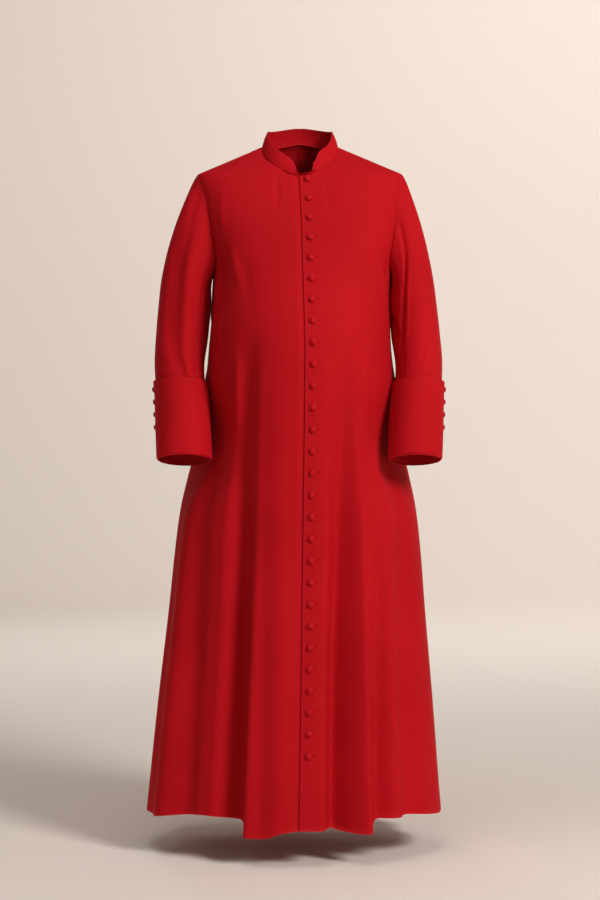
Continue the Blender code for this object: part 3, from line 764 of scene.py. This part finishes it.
def body_panel(name, side, offsets, neck_angles, sewn, stitched="", sunk=False):
    """Half of the front, from its centre edge to its side."""
    grid = body_grid(side, False, offsets, neck_angles)
    points = [[body_point(angle, z) for angle, z in line] for line in grid]
    if sunk:
        leans = directions(points, side)
        for i, line in enumerate(grid):
            for j, (angle, z) in enumerate(line):
                sink = under_wrap_sink(angle, z)
                points[i][j] -= leans[i][j] * sink
    panel = cloth_sheet(name + "_cloth", points, side, sewn, stitched)
    hang(panel, name)
    return panel


def hang(panel, name):
    """Hides the solid that this panel stands for."""
    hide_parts(name)


def back_panels(side, word, offsets, neck_angles):
    """Half of the back, seamed from neck to hem into a centre and a side panel."""
    grid = body_grid(side, True, offsets, neck_angles)
    points = [[body_point(angle, z) for angle, z in line] for line in grid]
    cut = min(range(len(neck_angles)), key=lambda i: abs(neck_angles[i] - SIDE_BACK_SEAM))
    sewn = ("start", "end", "top")
    hang(cloth_sheet(f"back_{word}_cloth", points[: cut + 1], -side, sewn), "back_" + word)
    hang(cloth_sheet(f"side_back_{word}_cloth", points[cut:], -side, sewn), "side_back_" + word)


def make_body():
    left = [0.0, 0.0012, 0.003, 0.006, 0.010, 0.0145, 0.019, 0.0235, 0.028, 0.034, UNDER_WRAP]
    right = [UNDER_WRAP, 0.034, 0.028, 0.022, 0.015, 0.008, 0.002]
    right += [-0.002, -0.005, -0.008, -0.011, -SINK_START]
    centre = [0.0, 0.0007, 0.0016, 0.0032, 0.006]
    left_over = [1 - step / NECK_COLUMNS for step in range(NECK_COLUMNS + 1)]
    ring = [90.0 - LEFT_NECK * share for share in left_over]
    long_ring = [90.0 - RIGHT_NECK * share for share in left_over]
    back_ring = [90.0 + BACK_NECK * share for share in left_over]
    from_back = [180.0 - math.degrees(math.asin(x / NECK_HALF_WIDTH)) for x in centre]
    front_neck = [neck_angle(x) for x in left]
    under_neck = [-neck_angle(x) for x in right]
    sewn = ("end", "top")
    front = body_panel("front_left", 1, left, front_neck + ring, sewn, "start")
    body_panel("front_right", -1, right, under_neck + long_ring, sewn, sunk=True)
    back_panels(1, "left", centre, from_back + back_ring)
    back_panels(-1, "right", [-x for x in centre], from_back + back_ring)
    return front


# ---------------------------------------------------------------- sleeves and cuffs
def hindarm_seam(along):
    """The back seam of a sleeve comes round to the outer side at the wrist."""
    return HINDARM_TOP + HINDARM_SWING * max(along - 0.2, 0.0) / 1.8


def forearm_seam(along):
    return FOREARM_SEAM


def make_sleeves(side, word):
    heights = spread(SLEEVE_HEAD_ROWS, start_seam=True)
    heights += [1 + i / ARM_ROWS for i in range(1, ARM_ROWS + 1)]
    parts = (
        ("sleeve_top_" + word, TOP_SLEEVE_COLUMNS, hindarm_seam, forearm_seam),
        ("sleeve_under_" + word, UNDER_SLEEVE_COLUMNS, forearm_seam, lambda s: 360.0 + hindarm_seam(s)),
    )
    for name, columns, first, last in parts:
        points = []
        for share in spread(columns, start_seam=True, end_seam=True):
            line = []
            for along in heights:
                turn = first(along) + (last(along) - first(along)) * share
                line.append(sleeve_point(side, turn, along))
            points.append(line)
        sleeve = cloth_sheet(name + "_cloth", points, side, sewn=("start", "end", "bottom"))
        hang(sleeve, name)


def cuff_point(side, turn, along, stand=CUFF_STAND):
    """A point of the cuff's outer face; along is 0 at its lower edge and 1 at its upper one."""
    z = SLEEVE_END - 0.002 + along * (CUFF_TOP - SLEEVE_END)
    centre = Vector((side * arm_x(z), arm_y(z), z))
    face = arm_point(side, turn, z)
    return face + (face - centre).normalized() * (stand + cuff_waver(side, turn, along))


def cuff_waver(side, turn, along):
    """The cuff is stiff, and stands from the sleeve a little unevenly."""
    waver = 0.0009 * math.sin(math.radians(2 * turn + 40 * side)) * along
    waver += 0.0006 * math.sin(math.radians(3 * turn) + 4 * along)
    return waver + 0.0006 * along


def cuff_line(side, turn):
    """The cuff from its rolled lower edge, under the sleeve's end, up to its top."""
    line = []
    for step in range(CUFF_ROLL_ROWS, 0, -1):
        bend = math.pi / 2 * step / CUFF_ROLL_ROWS
        line.append(
            cuff_point(side, turn, 0.0, CUFF_STAND - CUFF_ROLL * (1 - math.cos(bend)))
            - Vector((0, 0, CUFF_ROLL * math.sin(bend)))
        )
    line += [cuff_point(side, turn, share) for share in spread(CUFF_ROWS, end_seam=True)]
    return line


def make_cuff(side, word):
    opening = hindarm_seam(2.0)
    points = []
    for share in spread(CUFF_COLUMNS, start_seam=True, end_seam=True):
        points.append(cuff_line(side, opening + 360.0 * share))
    name = "cuff_" + word
    cuff = cloth_sheet(name + "_cloth", points, side, sewn=("start", "end"), stitched="top")
    hang(cuff, name)
    bpy.context.view_layer.update()
    seats = []
    for number in range(CUFF_BUTTONS):
        along = 1 - (FIRST_CUFF_BUTTON + number * CUFF_BUTTON_PITCH) / (CUFF_TOP - SLEEVE_END)
        turn = opening + CUFF_BUTTON_TURN
        face = cuff_point(side, turn, along)
        line = cuff_point(side, turn, along, stand=0.05) - face
        seats.append(facing(cuff, face + line, -line))
    buttons = covered_buttons("cuff_buttons_" + word, seats, CUFF_BUTTON_RADIUS)
    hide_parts(*[f"cuff_button_{word}_{number + 1}" for number in range(CUFF_BUTTONS)])


# ---------------------------------------------------------------- the collar
def collar_height(from_left, from_right):
    """The collar's height: its left end is nearly straight, and its right end has a rounded corner."""
    left = 0.70 + 0.30 * eased(from_left / 0.030)
    right = 0.45 + 0.55 * math.sqrt(max(1 - max(1 - from_right / 0.024, 0.0) ** 2, 0.0))
    return COLLAR_HEIGHT * min(left, right)


def make_collar():
    """A stand collar round the neck seam that leans in towards its top edge."""
    first, last = neck_angle(NOTCH_FROM_EDGE), 360.0 + neck_angle(-SINK_END)
    shares = spread(COLLAR_COLUMNS, start_seam=True, end_seam=True)
    bases = [neck_point(first + (last - first) * share) + Vector((0, 0, SEAM_GAP)) for share in shares]
    runs = [0.0]
    for a, b in zip(bases, bases[1:]):
        runs.append(runs[-1] + (b - a).length)
    points = []
    for base, run, share in zip(bases, runs, shares):
        cosine = math.cos(math.radians(first + (last - first) * share))
        flat = Vector((base.x / NECK_HALF_WIDTH, base.y / NECK_FRONT, 0)).normalized()
        lean = COLLAR_LEAN if cosine > 0 else COLLAR_LEAN + 0.25 * cosine
        up = (Vector((0, 0, 1)) - flat * lean).normalized()
        off_centre = degrees_apart(first + (last - first) * share, 180.0)
        rise = collar_height(run, runs[-1] - run) - BACK_DIP * max(1 - abs(off_centre) / 40.0, 0.0) ** 2
        open_out = 0.006 * (eased(1 - run / 0.03) - eased(1 - (runs[-1] - run) / 0.03))
        line = [base - flat * 0.0006 - Vector((0, 0, COLLAR_TUCK))]
        for height in spread(COLLAR_ROWS, end_seam=True):
            bow = flat * (0.0016 * math.sin(math.pi * height))
            line.append(base + up * (rise * height) + Vector((open_out * height, 0, 0)) + bow)
        points.append(line)
    collar = cloth_sheet("collar_cloth", points, 1, sewn=(), stitched="top", wall=COLLAR_WALL)
    hang(collar, "collar")


# ---------------------------------------------------------------- buttons and buttonholes
def facing(panel, start, direction):
    """(place, normal) where a line from start first meets a panel."""
    hit, spot, away, _ = panel.ray_cast(start, direction)
    if not hit:
        raise ValueError(f"no cloth of {panel.name} on this line")
    return spot, away


def covered_buttons(name, seats, radius):
    """Domes covered in the cloth, each drawn in under its rim and sewn down on a short shank."""
    height = BUTTON_HEIGHT * radius / BUTTON_RADIUS
    bends = [math.radians(degrees) for degrees in range(0, 91, 11)]
    crown = [(math.sin(bend) ** 0.9, 0.36 + 0.64 * math.cos(bend)) for bend in bends]
    profile = crown + [(0.97, 0.27), (0.86, 0.20), (0.60, 0.15), (0.40, 0.12), (0.36, 0.0), (0.0, 0.0)]
    whole = bmesh.new()
    for spot, away in seats:
        points = [whole.verts.new((radius * r, 0, SEAM_GAP + height * h)) for r, h in profile]
        lines = [whole.edges.new(pair) for pair in zip(points, points[1:])]
        bmesh.ops.spin(
            whole, geom=points + lines, axis=(0, 0, 1), angle=2 * math.pi, steps=24, use_merge=True
        )
        fresh = [v for v in whole.verts if not v.tag]
        turn = Vector((0, 0, 1)).rotation_difference(away).to_matrix().to_4x4()
        bmesh.ops.transform(whole, matrix=Matrix.Translation(spot) @ turn, verts=fresh)
        for vertex in fresh:
            vertex.tag = True
    bmesh.ops.remove_doubles(whole, verts=whole.verts[:], dist=1e-6)
    return place(name, whole, button_cloth)


def make_front_buttons(panel):
    ahead = Vector((0, -0.05, 0))
    seats = []
    for number in range(1, FRONT_BUTTONS + 1):
        z = button_height(number)
        angle = angle_at(1, edge_x(z) + BUTTON_INSET - centre_x(z), z, back=False)
        seats.append(facing(panel, body_point(angle, z) + ahead, -ahead))
    buttons = covered_buttons("front_buttons", seats, BUTTON_RADIUS)
    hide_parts(*[f"button_{number:02d}" for number in range(1, FRONT_BUTTONS + 1)])


def make_buttonholes():
    """A worked slot beside each button: a raised band of thread with the cut along its middle."""
    whole = bmesh.new()
    for number in range(1, FRONT_BUTTONS + 1):
        z = button_height(number)
        made = bmesh.ops.create_grid(whole, x_segments=14, y_segments=6, size=0.5)
        for vertex in made["verts"]:
            u, v = vertex.co.x + 0.5, vertex.co.y * 2
            across = edge_x(z) + BUTTON_INSET + 0.0035 + BUTTONHOLE_LENGTH * u
            taper = math.sqrt(max(1 - (2 * u - 1) ** 6, 0.04))
            level = z + v * BUTTONHOLE_HALF_WIDTH * taper
            angle = angle_at(1, across - centre_x(level), level, back=False)
            lift = 0.00045 * math.sin(math.pi * min(abs(v) * 1.15, 1.0)) * taper - 0.00006
            outward = Vector((math.sin(angle), -math.cos(angle), 0))
            vertex.co = body_point(angle, level) + outward * lift
    bmesh.ops.solidify(whole, geom=whole.faces[:], thickness=0.0003)
    place("buttonholes", whole, purl_thread)


# ---------------------------------------------------------------- finishes
def add_node(tree, kind, settings=(), **inputs):
    """A shader node. Its inputs are given by name as values or other nodes' outputs."""
    node = tree.nodes.new("ShaderNode" + kind)
    for name, value in dict(settings).items():
        setattr(node, name, value)
    for name, value in inputs.items():
        connect(tree, node.inputs[name.replace("_", " ")], value)
    return node


def connect(tree, socket, value):
    if isinstance(value, bpy.types.NodeSocket):
        tree.links.new(value, socket)
    else:
        socket.default_value = value


def maths(tree, operation, *values, clamp=False):
    node = add_node(tree, "Math", {"operation": operation, "use_clamp": clamp})
    for socket, value in zip(node.inputs, values):
        connect(tree, socket, value)
    return node.outputs["Value"]


def between(tree, share, first, second):
    """A colour between two others."""
    node = add_node(tree, "MixRGB")
    for name, value in (("Fac", share), ("Color1", first), ("Color2", second)):
        connect(tree, node.inputs[name], value)
    return node.outputs["Color"]


def noise(tree, vector, scale, detail=2.0):
    return add_node(tree, "TexNoise", Vector=vector, Scale=scale, Detail=detail).outputs["Fac"]


def waves(tree, vector, pitch, direction="DIAGONAL", **more):
    """Ribs that lie this pitch apart."""
    scale = WAVE_PERIOD / pitch
    ribs = add_node(tree, "TexWave", {"bands_direction": direction}, Vector=vector, Scale=scale, **more)
    return ribs.outputs["Fac"]


def attribute(tree, name):
    return add_node(tree, "Attribute", {"attribute_name": name}).outputs["Fac"]


def contrast(tree, value, low, high):
    """Spreads low to high over 0 to 1, and stops there."""
    return maths(tree, "MULTIPLY", maths(tree, "SUBTRACT", value, low), 1 / (high - low), clamp=True)


def new_finish(name, roughness, sheen, sheen_tint):
    """(material, its tree, its shader) with the numbers that are the same all over."""
    made = bpy.data.materials.new(name)
    made.use_nodes = True
    shader = made.node_tree.nodes["Principled BSDF"]
    shader.inputs["Roughness"].default_value = roughness
    shader.inputs["Specular IOR Level"].default_value = 0.08
    shader.inputs["Sheen Weight"].default_value = sheen
    shader.inputs["Sheen Roughness"].default_value = 0.45
    shader.inputs["Sheen Tint"].default_value = sheen_tint
    return made, made.node_tree, shader


def raise_surface(tree, shader, *layers):
    """Bump from (height, distance, strength) layers, one on another."""
    normal = None
    for height, distance, strength in layers:
        bump = add_node(tree, "Bump", Height=height, Distance=distance, Strength=strength)
        if normal:
            tree.links.new(normal, bump.inputs["Normal"])
        normal = bump.outputs["Normal"]
    tree.links.new(normal, shader.inputs["Normal"])


def make_red_cloth():
    """Fine twill: diagonal ribs, flecks of yarn, soft unevenness, painted shade along the seams, a painted
    highlight and less roughness along free edges, stitches.
    """
    made, tree, shader = new_finish("red cloth", 0.78, 0.03, SHEEN_RED)
    places = add_node(tree, "TexCoord")
    weave = places.outputs["UV"]
    ribs = waves(tree, weave, TWILL_PITCH, Distortion=0.8, Detail=1.0)
    slubs = noise(tree, weave, 900.0, 2.0)
    broad = noise(tree, places.outputs["Object"], 4.5, 3.0)
    soft = noise(tree, places.outputs["Object"], 38.0, 2.0)
    seam, edge = attribute(tree, "seam"), attribute(tree, "edge")
    colour = between(tree, contrast(tree, broad, 0.30, 0.70), CLOTH_DARK, CLOTH_LIGHT)
    flecks = maths(tree, "MULTIPLY", contrast(tree, slubs, 0.35, 0.75), 0.30)
    colour = between(tree, flecks, colour, CLOTH_DEEP)
    # painted shade: the colour darkens towards each seam, where the seam's groove is in shade
    colour = between(tree, maths(tree, "MULTIPLY", seam, 0.22), colour, CLOTH_DEEP)
    # painted highlight: the colour lightens along free edges, where a rounded edge catches the light
    colour = between(tree, maths(tree, "MULTIPLY", edge, 0.30), colour, CLOTH_EDGE_HIGHLIGHT)
    tree.links.new(colour, shader.inputs["Base Color"])
    rough = maths(tree, "MULTIPLY_ADD", soft, 0.16, 0.70)
    rough = maths(tree, "SUBTRACT", rough, maths(tree, "MULTIPLY", edge, 0.10))
    tree.links.new(rough, shader.inputs["Roughness"])
    away = maths(tree, "ABSOLUTE", maths(tree, "SUBTRACT", attribute(tree, "from_stitched"), STITCH_INSET))
    beside = maths(tree, "SUBTRACT", 1.0, maths(tree, "DIVIDE", away, STITCH_HALF_WIDTH), clamp=True)
    turns = maths(tree, "MULTIPLY", attribute(tree, "along_stitches"), 2 * math.pi / STITCH_LENGTH)
    stitch = maths(tree, "MULTIPLY", beside, contrast(tree, maths(tree, "SINE", turns), -0.6, 0.2))
    raise_surface(
        tree, shader,
        (soft, 0.0010, 0.20),
        (maths(tree, "SUBTRACT", stitch, beside), 0.0003, 0.5),
        (maths(tree, "MULTIPLY_ADD", slubs, 0.6, ribs), 0.00012, 0.35),
    )
    return made


def make_button_cloth():
    """The same cloth drawn tight over a mould, a little shinier, with its weave in its own directions."""
    made, tree, shader = new_finish("button cloth", 0.60, 0.06, SHEEN_RED)
    places = add_node(tree, "TexCoord")
    spot = places.outputs["Object"]
    ribs = waves(tree, spot, TWILL_PITCH, Distortion=0.6, Detail=1.0)
    slubs = noise(tree, spot, 1100.0, 2.0)
    colour = between(tree, contrast(tree, slubs, 0.3, 0.7), CLOTH_LIGHT, CLOTH_DARK)
    tree.links.new(colour, shader.inputs["Base Color"])
    raise_surface(tree, shader, (maths(tree, "MULTIPLY_ADD", slubs, 0.8, ribs), 0.00012, 0.4))
    return made


def make_purl_thread():
    """Buttonhole twist laid side by side across the slot."""
    made, tree, shader = new_finish("buttonhole thread", 0.55, 0.10, SHEEN_RED)
    places = add_node(tree, "TexCoord")
    rows = waves(tree, places.outputs["Object"], THREAD_PITCH, "X")
    colour = between(tree, contrast(tree, rows, 0.2, 0.8), CLOTH_DEEP, CLOTH_DARK)
    tree.links.new(colour, shader.inputs["Base Color"])
    raise_surface(tree, shader, (rows, 0.0002, 0.6))
    return made


# ---------------------------------------------------------------- the studio
def make_backdrop():
    """A wide round floor whose rim turns up into a wall, so every side has the same ground."""
    mesh = bmesh.new()
    profile = [(0.0, FLOOR), (STUDIO_RADIUS - SWEEP_RADIUS, FLOOR)]
    for step in range(1, 13):
        bend = math.pi / 2 * step / 12
        out = STUDIO_RADIUS - SWEEP_RADIUS + SWEEP_RADIUS * math.sin(bend)
        profile.append((out, FLOOR + SWEEP_RADIUS * (1 - math.cos(bend))))
    profile.append((STUDIO_RADIUS, STUDIO_TOP))
    points = [mesh.verts.new((out, 0, z)) for out, z in profile]
    lines = [mesh.edges.new(pair) for pair in zip(points, points[1:])]
    bmesh.ops.spin(
        mesh, geom=points + lines, axis=(0, 0, 1), angle=2 * math.pi, steps=96, use_merge=True
    )
    bmesh.ops.remove_doubles(mesh, verts=mesh.verts[:], dist=1e-5)
    bmesh.ops.recalc_face_normals(mesh, faces=mesh.faces[:])
    data = bpy.data.meshes.new("backdrop")
    mesh.to_mesh(data)
    mesh.free()
    data.shade_smooth()
    paper = bpy.data.materials.new("cream paper")
    paper.use_nodes = True
    shader = paper.node_tree.nodes["Principled BSDF"]
    shader.inputs["Base Color"].default_value = PAPER
    shader.inputs["Roughness"].default_value = 0.9
    shader.inputs["Specular IOR Level"].default_value = 0.1
    data.materials.append(paper)
    put_in_scene("backdrop", data)


def soft_light(name, place_at, aim, size, watts, colour, spread_angle=180.0):
    data = bpy.data.lights.new(name, "AREA")
    data.spread = math.radians(spread_angle)
    data.shape = "DISK"
    data.size = size
    data.energy = watts
    data.color = colour
    light = put_in_scene(name, data)
    light.location = place_at
    light.rotation_euler = (Vector(aim) - Vector(place_at)).to_track_quat("-Z", "Y").to_euler()


def make_camera():
    data = bpy.data.cameras.new("camera")
    data.lens = LENS
    data.sensor_width = 36.0
    data.clip_end = 50.0
    camera = put_in_scene("camera", data)
    camera.location = (0.0, -CAMERA_DISTANCE, CAMERA_HEIGHT)
    camera.rotation_euler = (math.pi / 2, 0.0, 0.0)
    bpy.context.scene.camera = camera


def make_air():
    world = bpy.data.worlds.new("studio air")
    world.use_nodes = True
    sky = world.node_tree.nodes["Background"]
    sky.inputs["Color"].default_value = AIR
    sky.inputs["Strength"].default_value = AIR_STRENGTH
    bpy.context.scene.world = world


# ---------------------------------------------------------------- everything
bpy.context.scene.view_settings.view_transform = "Standard"
make_air()
make_backdrop()
soft_light("key", (2.6, -2.9, 1.5), (0.0, 0.0, -0.62), 1.4, 133.0, (1.0, 0.965, 0.93))
soft_light("fill", (-2.2, -3.4, 0.4), (0.0, 0.0, -0.5), 2.4, 1.0, (1.0, 0.96, 0.92))
soft_light("floor", (-0.5, -1.2, 3.0), (-0.6, -0.6, FLOOR), 2.4, 16.0, (1.0, 0.98, 0.96), 120.0)
soft_light("wall", (2.0, 3.0, 4.2), (2.2, 9.0, 1.6), 4.0, 270.0, (1.0, 0.99, 0.98))
soft_light("behind", (-1.6, 4.4, 1.4), (0.0, 0.0, -0.6), 1.6, 20.0, (1.0, 0.97, 0.94))
make_camera()

red_cloth = make_red_cloth()
button_cloth = make_button_cloth()
purl_thread = make_purl_thread()

front_left = make_body()
make_collar()
for side, word in ((1, "left"), (-1, "right")):
    make_sleeves(side, word)
    make_cuff(side, word)
bpy.context.view_layer.update()
make_front_buttons(front_left)
make_buttonholes()
